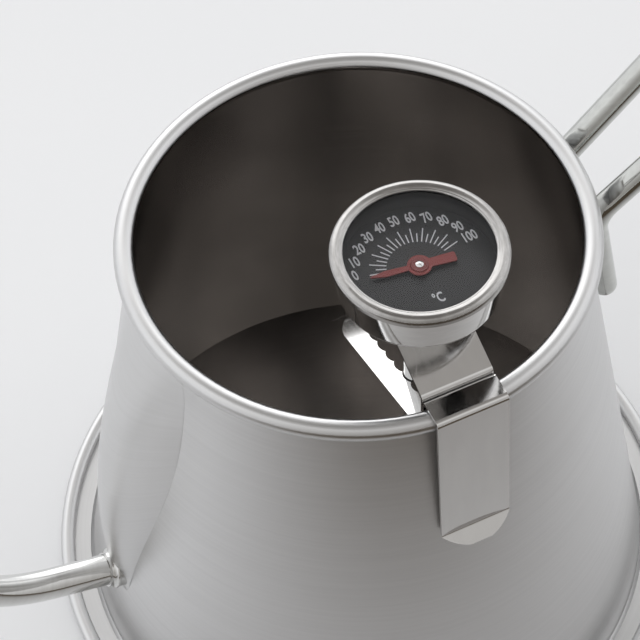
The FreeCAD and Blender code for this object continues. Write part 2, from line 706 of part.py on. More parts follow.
# ---- Thermometer pieces, made about Z and then moved to the stem's axis ----------------------
CASE_FLOOR_Z = arm_height(STEM_Y) + CASE_LIFT
CASE_TOP_Z = CASE_FLOOR_Z + CASE_DEPTH
BEZEL_LOW_Z = CASE_TOP_Z - BEZEL_SKIRT
CASE_IN_R = CASE_R - CASE_SHEET
DISC_R = CASE_IN_R - SEAT_GAP
LENS_LOW_Z = CASE_TOP_Z - LENS_T
BEZEL_TOP_Z = CASE_TOP_Z + BEZEL_LIP
DIAL_TOP_Z = LENS_LOW_Z - DIAL_DEPTH
DIAL_LOW_Z = DIAL_TOP_Z - DIAL_T
STEM_TIP_Z = SHEET + STEM_TIP_GAP
STEM_TOP_Z = CASE_FLOOR_Z + CASE_SHEET + STEM_IN_CASE
STEM_BORE_R = STEM_R - STEM_WALL
COIL_R = STEM_BORE_R - COIL_CLEARANCE - COIL_WIRE_R
COIL_LOW_Z = STEM_TIP_Z + PLUG_LENGTH + COIL_WIRE_R + FIT
COIL_TOP_Z = COIL_LOW_Z + COIL_LENGTH
CARRIER_Z = COIL_TOP_Z + COIL_WIRE_R + FIT
POINTER_Z = DIAL_TOP_Z + POINTER_LIFT


def case_cup():
    """Drawn cup, slightly narrower at its floor, with a hole for the stem."""
    corner = (CASE_FLOOR_R - CASE_CORNER_R, CASE_FLOOR_Z + CASE_CORNER_R)
    inner_corner_r = CASE_CORNER_R - CASE_SHEET
    side_z = corner[1]
    hole = STEM_R + FIT
    inner_floor_z = CASE_FLOOR_Z + CASE_SHEET
    seat_z = DIAL_LOW_Z - CASE_SEAT
    return turned_edges([
        line((hole, CASE_FLOOR_Z), (corner[0], CASE_FLOOR_Z)),
        arc(corner, CASE_CORNER_R, -90, 0),
        line((CASE_FLOOR_R, side_z), (CASE_R, CASE_TOP_Z)),
        line((CASE_R, CASE_TOP_Z), (CASE_IN_R, CASE_TOP_Z)),
        line((CASE_IN_R, CASE_TOP_Z), (CASE_IN_R, seat_z)),
        line((CASE_IN_R, seat_z), (CASE_FLOOR_R - CASE_SHEET, side_z)),
        arc(corner, inner_corner_r, 0, -90),
        line((corner[0], inner_floor_z), (hole, inner_floor_z)),
        line((hole, inner_floor_z), (hole, CASE_FLOOR_Z)),
    ])


def bezel_ring():
    """Rolled ring that grips the case and holds the lens."""
    grip = CASE_R + FIT
    roll = (BEZEL_R - BEZEL_ROLL_R, BEZEL_TOP_Z - BEZEL_ROLL_R)
    window = (BEZEL_WINDOW_R + BEZEL_WINDOW_ROUND, BEZEL_TOP_Z - BEZEL_LIP_DROP - BEZEL_WINDOW_ROUND)
    return turned_edges([
        line((grip, BEZEL_LOW_Z), (BEZEL_R, BEZEL_LOW_Z)),
        line((BEZEL_R, BEZEL_LOW_Z), (BEZEL_R, roll[1])),
        arc(roll, BEZEL_ROLL_R, 0, 90),
        bowed((roll[0], BEZEL_TOP_Z), (window[0], BEZEL_TOP_Z - BEZEL_LIP_DROP), -BEZEL_LIP_BULGE),
        arc(window, BEZEL_WINDOW_ROUND, 90, 180),
        line((BEZEL_WINDOW_R, window[1]), (BEZEL_WINDOW_R, CASE_TOP_Z)),
        line((BEZEL_WINDOW_R, CASE_TOP_Z), (grip, CASE_TOP_Z)),
        line((grip, CASE_TOP_Z), (grip, BEZEL_LOW_Z)),
    ])


def lens():
    """Flat glass under the bezel's lip, flush with the top of the case."""
    return disc(DISC_R, LENS_LOW_Z, CASE_TOP_Z)


def lens_gasket():
    """Thin seal under the edge of the lens."""
    return ring(DISC_R, DISC_R - RING_WIDTH, LENS_LOW_Z - GASKET_T, LENS_LOW_Z)


def dial_ring():
    """Ring between the lens seal and the dial."""
    return ring(DISC_R, DISC_R - RING_WIDTH, DIAL_TOP_Z, LENS_LOW_Z - GASKET_T)


def dial_plate():
    """Dial, with a hole for the spindle."""
    return ring(DISC_R, SPINDLE_R + DIAL_HOLE_CLEARANCE, DIAL_LOW_Z, DIAL_TOP_Z)


def dial_support():
    """Ring that carries the dial inside the case."""
    outer = CASE_FLOOR_R - CASE_CORNER_R
    return ring(outer, outer - RING_WIDTH, CASE_FLOOR_Z + CASE_SHEET, DIAL_LOW_Z)


def stem_ferrule():
    """Short tapered collar between the case and the stem."""
    inner = STEM_R + FIT
    low = CASE_FLOOR_Z - FERRULE_LENGTH
    return turned([
        (inner, low), (inner + FERRULE_WALL, low), (FERRULE_R, low + FERRULE_CONE),
        (FERRULE_R, CASE_FLOOR_Z), (inner, CASE_FLOOR_Z),
    ])


def stem_tube():
    """Probe tube, open at both ends."""
    return ring(STEM_R, STEM_BORE_R, STEM_TIP_Z + STEM_DOME, STEM_TOP_Z)


def stem_plug():
    """Rounded plug that closes the probe and anchors the coil."""
    shoulder = STEM_TIP_Z + STEM_DOME
    top = STEM_TIP_Z + PLUG_LENGTH
    bore = STEM_BORE_R - FIT
    return turned_edges([
        dome(STEM_R, shoulder, STEM_TIP_Z),
        line((STEM_R, shoulder), (bore, shoulder)),
        line((bore, shoulder), (bore, top)),
        line((bore, top), (0, top)),
        line((0, top), (0, STEM_TIP_Z)),
    ])


def bush(low):
    """Guide for the spindle, seated in the stem's bore."""
    return ring(STEM_BORE_R - FIT, SPINDLE_R + SPINDLE_CLEARANCE, low, low + BUSH_LENGTH)


def upper_bush():
    """Guide at the top of the stem."""
    return bush(STEM_TOP_Z - BUSH_LENGTH)


def lower_bush():
    """Guide just above the coil."""
    return bush(CARRIER_Z + CARRIER_T + BUSH_GAP)


def bimetal_coil():
    """Coil that winds up with heat; its lower end is fixed, its upper end turns the spindle."""
    pitch = COIL_LENGTH / COIL_TURNS
    helix = Part.makeHelix(pitch, COIL_LENGTH, COIL_R)
    start = Vec(COIL_R, 0, 0)
    ahead = Vec(0, 2 * math.pi * COIL_R, pitch)
    section = Part.Wire(Part.Circle(start, ahead, COIL_WIRE_R).toShape())
    coil = Part.Wire(helix).makePipeShell([section], True, True)
    coil.translate(Vec(0, 0, COIL_LOW_Z))
    return coil


def spindle():
    """Thin shaft from the coil up to the pointer, with the disc that the coil's end is fixed to."""
    shaft = disc(SPINDLE_R, COIL_TOP_Z - COIL_LENGTH / 2, POINTER_Z + POINTER_T + HUB_RIM_T)
    carrier = disc(COIL_R + COIL_WIRE_R, CARRIER_Z, CARRIER_Z + CARRIER_T)
    return shaft.fuse(carrier).removeSplitter()


def pointer():
    """Flat needle with a ring-shaped hub and a straight counterweight tail."""
    half_tail = POINTER_TAIL_WIDTH / 2
    half_neck = POINTER_NECK_WIDTH / 2
    half_waist = POINTER_WAIST_WIDTH / 2
    half_tip = POINTER_TIP_WIDTH / 2
    needle = [
        Vec(0, half_neck, 0), Vec(POINTER_WAIST_R, half_waist, 0), Vec(POINTER_TIP_R, half_tip, 0),
        Vec(POINTER_TIP_R, -half_tip, 0), Vec(POINTER_WAIST_R, -half_waist, 0), Vec(0, -half_neck, 0),
    ]
    blade = Part.Face(Part.makePolygon(needle + needle[:1])).extrude(UP * POINTER_T)
    half_end = POINTER_TAIL_END / 2
    tail_outline = [
        Vec(0, half_tail, 0), Vec(-POINTER_TAIL_R, half_end, 0),
        Vec(-POINTER_TAIL_R, -half_end, 0), Vec(0, -half_tail, 0),
    ]
    tail = Part.Face(Part.makePolygon(tail_outline + tail_outline[:1])).extrude(UP * POINTER_T)
    tail = tail.makeFillet(POINTER_TAIL_ROUND, [
        edge for edge in tail.Edges
        if edge.Length < 2 * POINTER_T and edge.CenterOfMass.x < -POINTER_TAIL_R / 2
    ])
    hub = disc(POINTER_HUB_R, 0, POINTER_T)
    made = blade.multiFuse([tail, hub]).removeSplitter()
    made = made.cut(disc(SPINDLE_R, -POINTER_T, 2 * POINTER_T))
    made.rotate(Vec(0, 0, 0), UP, POINTER_REST_ANGLE)
    made.translate(Vec(0, 0, POINTER_Z))
    return made


def pointer_boss():
    """Raised round boss of the pointer."""
    low = POINTER_Z + POINTER_T
    top = low + HUB_RIM_T
    return turned([(SPINDLE_R, low), (HUB_RIM_R, low), (HUB_RIM_R - HUB_CHAMFER, top), (SPINDLE_R, top)])


def pointer_pin():
    """Bright cap pressed on the end of the spindle."""
    low = POINTER_Z + POINTER_T + HUB_RIM_T
    edge = low + PIN_EDGE
    return turned_edges([
        line((0, low), (PIN_HEAD_R, low)),
        line((PIN_HEAD_R, low), (PIN_HEAD_R, edge)),
        dome(PIN_HEAD_R, edge, low + PIN_HEAD_T),
        line((0, low + PIN_HEAD_T), (0, low)),
    ])


# ---- Assembly ------------------------------------------------------------------------------
def largest(shape):
    """The biggest solid of a cut result."""
    return max(shape.Solids, key=lambda solid: solid.Volume)


def main():
    """Builds every piece and writes it out."""
    os.makedirs("parts", exist_ok=True)
    handle = handle_loop()
    rivets = clip_rivets()
    clip = stem_clip()
    hook = rim_hook()
    for rivet in rivets:
        clip = clip.cut(rivet)
        hook = hook.cut(rivet)
    pieces = {
        "body_shell": body_shell(),
        "base_pan": base_pan(),
        "base_weld": base_weld(),
        "spout_nose": spout_nose(),
        "spout_collar": spout_collar(),
        "spout_tube": spout_tube(),
        "handle_loop": handle,
        "handle_welds": handle_welds(handle),
        "rim_hook": hook,
        "stem_clip": clip,
        "clip_rivets": Part.makeCompound(rivets),
    }
    on_stem = [
        case_cup, bezel_ring, lens, lens_gasket, dial_ring, dial_plate, dial_support, stem_ferrule,
        stem_tube, stem_plug, upper_bush, lower_bush, bimetal_coil, spindle, pointer, pointer_boss,
        pointer_pin,
    ]
    for make in on_stem:
        shape = make()
        shape.translate(Vec(0, STEM_Y, 0))
        pieces[make.__name__] = shape
    for name, shape in pieces.items():
        if not shape.isValid():
            raise ValueError(name + " is not a valid solid")
        shape.exportStep("parts/" + name + ".step")
        box = shape.BoundBox
        print("%-14s volume %9.1f  x %7.1f %7.1f  y %7.1f %7.1f  z %7.1f %7.1f" % (
            name, shape.Volume, box.XMin, box.XMax, box.YMin, box.YMax, box.ZMin, box.ZMax
        ))


main()
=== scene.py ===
"""Looks of the gooseneck kettle and its clip-on thermometer.

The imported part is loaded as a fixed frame. Every one of its nodes gets a finish, the welds of the
handle get their ripples, the dial gets its print, and a pale studio stands round the object.
All sizes are metres in the part's own frame: +X spout, -X handle, +Y thermometer, +Z up.
"""

import logging
import math
from dataclasses import dataclass, field
from enum import Enum
from typing import ClassVar

import bmesh
import bpy
from mathutils import Matrix, Vector


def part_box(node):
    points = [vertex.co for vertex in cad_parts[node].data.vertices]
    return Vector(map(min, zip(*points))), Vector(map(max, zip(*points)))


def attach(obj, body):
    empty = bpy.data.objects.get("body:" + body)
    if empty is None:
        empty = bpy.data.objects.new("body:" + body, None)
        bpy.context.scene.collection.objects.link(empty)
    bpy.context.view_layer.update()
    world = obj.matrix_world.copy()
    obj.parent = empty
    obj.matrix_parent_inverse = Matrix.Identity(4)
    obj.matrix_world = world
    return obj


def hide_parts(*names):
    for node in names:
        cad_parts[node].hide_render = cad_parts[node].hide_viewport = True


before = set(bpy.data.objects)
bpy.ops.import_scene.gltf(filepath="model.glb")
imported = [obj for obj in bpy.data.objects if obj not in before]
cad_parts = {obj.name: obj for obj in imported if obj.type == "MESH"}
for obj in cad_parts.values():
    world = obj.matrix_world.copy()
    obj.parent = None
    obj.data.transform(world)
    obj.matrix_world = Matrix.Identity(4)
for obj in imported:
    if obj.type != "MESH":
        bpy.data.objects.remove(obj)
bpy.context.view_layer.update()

MM = 0.001
Color = tuple[float, float, float]
Range = tuple[float, float]

# Nearly all values of a noise pattern lie in the first range, and most of them in the second.
SPREAD: Range = (0.25, 0.75)
CORE: Range = (0.3, 0.7)

logging.basicConfig(level=logging.INFO, format="%(name)s: %(message)s")
log = logging.getLogger("kettle")


# ---- Node trees ----
class Graph:
    """A node tree with short calls for the nodes that the finishes share.

    Attributes:
        COLUMN: spacing of the nodes in the editor.
        COLOR_SOCKETS: places of the two inputs and the result of a Mix node for colours.
        VALUE_SOCKETS: the same for plain values.
    """

    COLUMN = 190
    COLOR_SOCKETS = (6, 7, 2)
    VALUE_SOCKETS = (2, 3, 0)

    def __init__(self, tree: bpy.types.NodeTree) -> None:
        """Takes the tree that nodes are added to."""
        self.tree = tree

    def node(self, kind: str, **settings: object) -> bpy.types.Node:
        """Adds one node.

        Args:
            kind: the node's type name.
            settings: properties to set on it.

        Returns:
            The new node.
        """
        made = self.tree.nodes.new(kind)
        for name, value in settings.items():
            setattr(made, name, value)
        made.location = (len(self.tree.nodes) * self.COLUMN, 0)
        return made

    def feed(self, socket: bpy.types.NodeSocket, value: object) -> None:
        """Joins another socket to this one, or sets a plain value on it.

        Args:
            socket: the input to fill.
            value: an output socket, or a plain value.
        """
        if isinstance(value, bpy.types.NodeSocket):
            self.tree.links.new(value, socket)
        else:
            socket.default_value = value

    def fill(self, node: bpy.types.Node, inputs: dict[str, object]) -> bpy.types.Node:
        """Fills inputs of a node by name.

        Args:
            node: the node.
            inputs: input name to socket or value.

        Returns:
            The same node.
        """
        for name, value in inputs.items():
            self.feed(node.inputs[name], value)
        return node

    def math(self, operation: str, *values: object, clamp: bool = False) -> bpy.types.NodeSocket:
        """Adds a Math node.

        Args:
            operation: what it does.
            values: its inputs in order.
            clamp: keeps the result from 0 to 1.

        Returns:
            Its output.
        """
        made = self.node("ShaderNodeMath", operation=operation, use_clamp=clamp)
        for socket, value in zip(made.inputs, values):
            self.feed(socket, value)
        return made.outputs[0]

    def vector(self, operation: str, *values: object) -> bpy.types.NodeSocket:
        """Adds a Vector Math node.

        Args:
            operation: what it does.
            values: its inputs in order.

        Returns:
            Its value output for lengths and dot products, otherwise its vector output.
        """
        made = self.node("ShaderNodeVectorMath", operation=operation)
        for socket, value in zip(made.inputs, values):
            self.feed(socket, value)
        return made.outputs["Value" if operation in ("LENGTH", "DOT_PRODUCT") else "Vector"]

    def ranged(
        self, value: object, low: float, high: float, to_low: object, to_high: object
    ) -> bpy.types.NodeSocket:
        """Maps a value from one range to another and keeps it inside.

        Args:
            value: what is mapped.
            low: start of its range.
            high: end of its range.
            to_low: result at low.
            to_high: result at high.

        Returns:
            The mapped value.
        """
        made = self.node("ShaderNodeMapRange")
        names = ("Value", "From Min", "From Max", "To Min", "To Max")
        self.fill(made, dict(zip(names, (value, low, high, to_low, to_high))))
        return made.outputs[0]

    def mixed(self, share: object, first: object, second: object) -> bpy.types.NodeSocket:
        """Mixes two colours.

        Args:
            share: 0 for the first, 1 for the second.
            first: a colour.
            second: a colour.

        Returns:
            The mixed colour.
        """
        return self._mix("RGBA", self.COLOR_SOCKETS, share, first, second)

    def between(self, share: object, first: object, second: object) -> bpy.types.NodeSocket:
        """Mixes two plain values.

        Args:
            share: 0 for the first, 1 for the second.
            first: a value.
            second: a value.

        Returns:
            The mixed value.
        """
        return self._mix("FLOAT", self.VALUE_SOCKETS, share, first, second)

    def _mix(self, kind: str, places: tuple[int, int, int], *values: object) -> bpy.types.NodeSocket:
        """Adds a Mix node, whose sockets are found by their places because they share their names.

        Args:
            kind: what it mixes.
            places: places of its two inputs and of its result.
            values: the share, the first and the second.

        Returns:
            Its result.
        """
        made = self.node("ShaderNodeMix", data_type=kind)
        first, second, result = places
        for place, value in zip((0, first, second), values):
            self.feed(made.inputs[place], value)
        return made.outputs[result]

    def scaled(self, vector: object, by: object) -> bpy.types.NodeSocket:
        """Scales a vector or a colour.

        Args:
            vector: what is scaled.
            by: the factor.

        Returns:
            The scaled vector.
        """
        made = self.fill(self.node("ShaderNodeVectorMath", operation="SCALE"), {"Scale": by})
        self.feed(made.inputs[0], vector)
        return made.outputs["Vector"]

    def relief(self, height: object, distance: float) -> bpy.types.NodeSocket:
        """Adds a fine relief.

        Args:
            height: its pattern.
            distance: how high a pattern value of 1 stands, in metres.

        Returns:
            The normal.
        """
        made = self.node("ShaderNodeBump")
        self.fill(made, {"Strength": 1.0, "Distance": distance, "Height": height})
        return made.outputs[0]

    def noise(self, where: object, scale: object, detail: float, rough: float = 0.5) -> bpy.types.NodeSocket:
        """Adds a noise pattern.

        Args:
            where: the coordinates.
            scale: how many waves a metre.
            detail: how many finer layers.
            rough: the strength of the finer layers.

        Returns:
            Its value.
        """
        made = self.node("ShaderNodeTexNoise")
        self.fill(made, {"Vector": where, "Scale": scale, "Detail": detail, "Roughness": rough})
        return made.outputs[0]

    def place(self) -> bpy.types.NodeSocket:
        """The object coordinates."""
        return self.node("ShaderNodeTexCoord").outputs["Object"]

    def parts(self, vector: object) -> list[bpy.types.NodeSocket]:
        """The three parts of a vector."""
        made = self.node("ShaderNodeSeparateXYZ")
        self.feed(made.inputs[0], vector)
        return list(made.outputs)

    def joined(self, *parts: object) -> bpy.types.NodeSocket:
        """A vector from three parts."""
        made = self.node("ShaderNodeCombineXYZ")
        for socket, value in zip(made.inputs, parts):
            self.feed(socket, value)
        return made.outputs[0]

    def effect(self, group: bpy.types.NodeTree, inputs: dict[str, float]) -> dict[str, bpy.types.NodeSocket]:
        """Places a shared effect.

        Args:
            group: the effect's node group.
            inputs: its values here.

        Returns:
            Output name to socket.
        """
        made = self.fill(self.node("ShaderNodeGroup", node_tree=group), inputs)
        return {socket.name: socket for socket in made.outputs}


class Effects:
    """The effects that several finishes share, each one a node group that is built once.

    Attributes:
        LINES, CLOUDS, CURVES: detail of each noise, and the strength of its finer layers.
        TURNED_BROAD, DRAWN_BROAD: waves of the broad lines against the fine ones.
        SMUDGED, BROKEN: noise values at which a smudge or a scratch starts and is whole.
        HAIR: half width of a scratch, as a difference of noise.
    """

    LINES = (3.0, 0.6)
    CLOUDS = (5.0, 0.62)
    CURVES = (1.0, 0.4)
    TURNED_BROAD = 0.4
    DRAWN_BROAD = 0.08
    SMUDGED: Range = (0.46, 0.74)
    BROKEN: Range = (0.52, 0.6)
    HAIR = 0.004

    def __init__(self) -> None:
        """Builds the groups."""
        self.turned = self._turned_grain()
        self.drawn = self._drawn_grain()
        self.handling = self._handling()
        # mask of the outer edges, which carry wear and a painted highlight
        self.edges = self._worn_edges()

    @staticmethod
    def _group(
        name: str, inputs: dict[str, float], outputs: list[str]
    ) -> tuple[Graph, dict[str, bpy.types.NodeSocket], bpy.types.Node]:
        """Starts a node group.

        Args:
            name: the group's name.
            inputs: input name to its first value.
            outputs: output names.

        Returns:
            The graph, its inputs by name, and the output node.
        """
        tree = bpy.data.node_groups.new(name, "ShaderNodeTree")
        for title, value in inputs.items():
            socket = tree.interface.new_socket(name=title, in_out="INPUT", socket_type="NodeSocketFloat")
            socket.default_value = value
        for title in outputs:
            tree.interface.new_socket(name=title, in_out="OUTPUT", socket_type="NodeSocketFloat")
        graph = Graph(tree)
        entry = graph.node("NodeGroupInput")
        ending = graph.node("NodeGroupOutput")
        return graph, {socket.name: socket for socket in entry.outputs if socket.name}, ending

    def _turned_grain(self) -> bpy.types.NodeTree:
        """Fine lines that run round an upright axis, without a seam.

        Returns:
            Group with the outputs Fine and Broad.
        """
        graph, given, ending = self._group(
            "turned_grain", {"Axis Y": 0.0, "Across": 3000.0, "Along": 3.0}, ["Fine", "Broad"]
        )
        x, y, z = graph.parts(graph.place())
        flat = graph.joined(x, graph.math("SUBTRACT", y, given["Axis Y"]), 0.0)
        radius = graph.vector("LENGTH", flat)
        round_x, round_y, _ = graph.parts(graph.vector("NORMALIZE", flat))
        side = graph.math("ADD", radius, z)
        for title, share in (("Fine", 1.0), ("Broad", self.TURNED_BROAD)):
            lines = graph.joined(
                graph.math("MULTIPLY", round_x, given["Along"]),
                graph.math("MULTIPLY", round_y, given["Along"]),
                graph.math("MULTIPLY", side, graph.math("MULTIPLY", given["Across"], share)),
            )
            graph.feed(ending.inputs[title], graph.noise(lines, 1.0, *self.LINES))
        return graph.tree

    def _drawn_grain(self) -> bpy.types.NodeTree:
        """Fine lines that run along a strip or rod, crossing X.

        Returns:
            Group with the outputs Fine and Broad.
        """
        graph, given, ending = self._group(
            "drawn_grain", {"Across": 3000.0, "Along": 60.0}, ["Fine", "Broad"]
        )
        x, y, z = graph.parts(graph.place())
        for title, share in (("Fine", 1.0), ("Broad", self.DRAWN_BROAD)):
            lines = graph.joined(
                graph.math("MULTIPLY", x, graph.math("MULTIPLY", given["Across"], share)),
                graph.math("MULTIPLY", y, given["Along"]),
                graph.math("MULTIPLY", z, given["Along"]),
            )
            graph.feed(ending.inputs[title], graph.noise(lines, 1.0, *self.LINES))
        return graph.tree

    def _handling(self) -> bpy.types.NodeTree:
        """Faint smudges, and hairline scratches in broken curves.

        Returns:
            Group with the outputs Smudge and Scratch.
        """
        graph, given, ending = self._group(
            "handling_marks", {"Smudge Scale": 40.0, "Scratch Scale": 90.0}, ["Smudge", "Scratch"]
        )
        where = graph.place()
        cloudy = graph.noise(where, given["Smudge Scale"], *self.CLOUDS)
        graph.feed(ending.inputs["Smudge"], graph.ranged(cloudy, *self.SMUDGED, 0.0, 1.0))
        curve = graph.noise(where, given["Scratch Scale"], *self.CURVES)
        off = graph.math("ABSOLUTE", graph.math("SUBTRACT", curve, 0.5))
        hair = graph.ranged(off, 0.0, self.HAIR, 1.0, 0.0)
        patches = graph.noise(where, given["Smudge Scale"], 2.0)
        broken = graph.ranged(patches, *self.BROKEN, 0.0, 1.0)
        graph.feed(ending.inputs["Scratch"], graph.math("MULTIPLY", hair, broken))
        return graph.tree

    def _worn_edges(self) -> bpy.types.NodeTree:
        """A mask of the outer edges, where handling has polished them; the finishes lighten the colour
        there, partly for wear and partly as a painted highlight.

        Returns:
            Group with the output Edge.
        """
        graph, given, ending = self._group("worn_and_highlit_edges", {"Radius": 0.0002, "Gain": 4.0}, ["Edge"])
        soft = graph.fill(graph.node("ShaderNodeBevel", samples=4), {"Radius": given["Radius"]})
        true = graph.node("ShaderNodeNewGeometry").outputs["Normal"]
        turned = graph.math("SUBTRACT", 1.0, graph.vector("DOT_PRODUCT", soft.outputs[0], true))
        graph.feed(ending.inputs["Edge"], graph.math("MULTIPLY", turned, given["Gain"], clamp=True))
        return graph.tree


# ---- Finishes ----
class Grain(Enum):
    """Which way the lines of a steel finish run."""

    ROUND = "round an upright axis"
    ALONG = "along the strip or rod"


@dataclass(frozen=True)
class Steel:
    """A steel finish.

    Attributes:
        name: the material's name.
        color: the metal's own colour.
        shade: the colour of its darker streaks.
        rough: mean roughness.
        rough_swing: how far the lines move the roughness.
        grain: which way the lines run.
        across: waves a metre across the lines.
        along: waves along them.
        relief: height of the lines.
        pull: strength of the stretched highlight.
        smudges: strength of the smudges.
        scratches: strength of the scratches.
        edge: brightness added on worn edges, partly wear and partly a painted highlight.
        axis_y: where the upright axis of turned lines stands.
        SMUDGE_DULLING: roughness that a whole smudge adds.
        SCRATCH_DULLING: roughness that a whole scratch adds.
    """

    SMUDGE_DULLING: ClassVar[float] = 0.35
    SCRATCH_DULLING: ClassVar[float] = 0.2

    name: str
    color: Color
    shade: Color
    rough: float
    rough_swing: float
    grain: Grain
    across: float = 3000.0
    along: float = 3.0
    relief: float = 2e-6
    pull: float = 0.0
    smudges: float = 0.1
    scratches: float = 0.1
    edge: float = 0.0
    axis_y: float = 0.0

    def build(self, effects: Effects) -> bpy.types.Material:
        """Builds the material.

        Args:
            effects: the shared effects.

        Returns:
            The material.
        """
        graph, shader, material = start_material(self.name)
        if self.grain is Grain.ROUND:
            lines = graph.effect(
                effects.turned, {"Axis Y": self.axis_y, "Across": self.across, "Along": self.along}
            )
        else:
            lines = graph.effect(effects.drawn, {"Across": self.across, "Along": self.along})
        marks = graph.effect(effects.handling, {})
        streak = graph.ranged(lines["Broad"], *CORE, 0.0, 1.0)
        color = graph.mixed(streak, opaque(self.shade), opaque(self.color))
        dull = graph.math("MULTIPLY", marks["Smudge"], self.smudges)
        color = graph.mixed(dull, color, opaque(self.shade))
        # worn edges and painted highlight: the colour is lightened towards white along the outer edges
        if self.edge:
            worn = graph.math("MULTIPLY", graph.effect(effects.edges, {})["Edge"], self.edge)
            color = graph.mixed(worn, color, opaque((1.0, 1.0, 1.0)))
        rough = graph.ranged(lines["Fine"], *SPREAD, *about(self.rough, self.rough_swing))
        scratch = graph.math("MULTIPLY", marks["Scratch"], self.scratches)
        rough = graph.math("ADD", rough, graph.math("MULTIPLY", dull, self.SMUDGE_DULLING))
        rough = graph.math("ADD", rough, graph.math("MULTIPLY", scratch, self.SCRATCH_DULLING), clamp=True)
        height = graph.math("SUBTRACT", lines["Fine"], scratch)
        graph.fill(shader, {
            "Base Color": color, "Metallic": 1.0, "Roughness": rough, "Anisotropic": self.pull,
            "Normal": graph.relief(height, self.relief),
        })
        if self.pull and self.grain is Grain.ROUND:
            x, y, _ = graph.parts(graph.place())
            round_way = graph.joined(graph.math("SUBTRACT", self.axis_y, y), x, 0.0)
            graph.feed(shader.inputs["Tangent"], graph.vector("NORMALIZE", round_way))
        return material


@dataclass(frozen=True)
class VesselSteel:
    """Satin steel outside and polished steel inside, parted by the wall's middle sheet; the inside is
    painted darker as the shade in the hollow, with upright stripes of painted reflection.

    Attributes:
        name: the material's name.
        outside: colour outside.
        inside: colour inside, darkened as painted shade of the hollow.
        base_radius: radius of the middle of the sheet at the foot of the wall.
        lean: how much the wall leans in for each metre of height.
        floor_level: height that parts the floor's upper face from its underside.
        rough_outside, rough_inside: mean roughness.
        swing_outside, swing_inside: how far the lines move it.
        streaks: brightness of the darkest and the palest brush lines outside.
        stain: brightness of a smudged place inside.
        bands: brightness of the darkest and the palest upright stripes inside, painted reflections of
            streaks of light.
        band_waves: waves of those stripes across the unit circle.
        across: waves a metre across the brush lines.
        along: waves along them.
        relief: height of the lines.
        pull: strength of the stretched highlight.
        smudges, scratches: strength of these marks.
        SMUDGE_DULLING: roughness that a whole smudge adds.
        BAND_RANGE: noise values of the darkest and the palest stripe.
    """

    SMUDGE_DULLING: ClassVar[float] = 0.3
    BAND_RANGE: ClassVar[Range] = (0.35, 0.65)

    name: str
    outside: Color
    inside: Color
    base_radius: float
    lean: float
    floor_level: float
    rough_outside: float = 0.34
    rough_inside: float = 0.17
    swing_outside: float = 0.05
    swing_inside: float = 0.03
    streaks: Range = (0.97, 1.02)
    stain: float = 0.82
    # painted reflection: brightness range of the upright stripes inside
    bands: Range = (0.84, 1.18)
    band_waves: float = 2.2
    across: float = 3400.0
    along: float = 1.1
    relief: float = 3e-6
    pull: float = 0.7
    smudges: float = 0.12
    scratches: float = 0.25

    def build(self, effects: Effects) -> bpy.types.Material:
        """Builds the material.

        Args:
            effects: the shared effects.

        Returns:
            The material.
        """
        graph, shader, material = start_material(self.name)
        lines = graph.effect(effects.turned, {"Across": self.across, "Along": self.along})
        marks = graph.effect(effects.handling, {"Smudge Scale": 26.0})
        x, y, z = graph.parts(graph.place())
        radius = graph.vector("LENGTH", graph.joined(x, y, 0.0))
        cone = graph.math("ADD", radius, graph.math("MULTIPLY", z, self.lean))
        in_cone = graph.math("LESS_THAN", cone, self.base_radius)
        above = graph.math("GREATER_THAN", z, self.floor_level)
        within = graph.math("MULTIPLY", in_cone, above)
        outer = graph.scaled(self.outside, graph.ranged(lines["Broad"], *CORE, *self.streaks))
        # painted shade: the inside colour is darker to stand for the shade in the hollow; real stains and
        # smudges go on top of it
        stained_shaded_inside = tuple(part * self.stain for part in self.inside)
        smudged = graph.mixed(marks["Smudge"], opaque(self.inside), opaque(stained_shaded_inside))
        # painted reflection: upright stripes round the inside brighten and darken it like streaks of
        # reflected light
        reflection_band_noise = graph.noise(graph.vector("NORMALIZE", graph.joined(x, y, 0.0)), self.band_waves, 3.0)
        inner = graph.scaled(smudged, graph.ranged(reflection_band_noise, *self.BAND_RANGE, *self.bands))
        rough = graph.between(
            within,
            graph.ranged(lines["Fine"], *SPREAD, *about(self.rough_outside, self.swing_outside)),
            graph.ranged(lines["Fine"], *SPREAD, *about(self.rough_inside, self.swing_inside)),
        )
        dull = graph.math("MULTIPLY", marks["Smudge"], self.smudges)
        rough = graph.math("ADD", rough, graph.math("MULTIPLY", dull, self.SMUDGE_DULLING), clamp=True)
        scratch = graph.math("MULTIPLY", marks["Scratch"], self.scratches)
        height = graph.math("SUBTRACT", lines["Fine"], scratch)
        round_way = graph.joined(graph.math("SUBTRACT", 0.0, y), x, 0.0)
        graph.fill(shader, {
            "Base Color": graph.mixed(within, outer, inner), "Metallic": 1.0, "Roughness": rough,
            "Normal": graph.relief(height, self.relief), "Anisotropic": self.pull,
            "Tangent": graph.vector("NORMALIZE", round_way),
        })
        return material


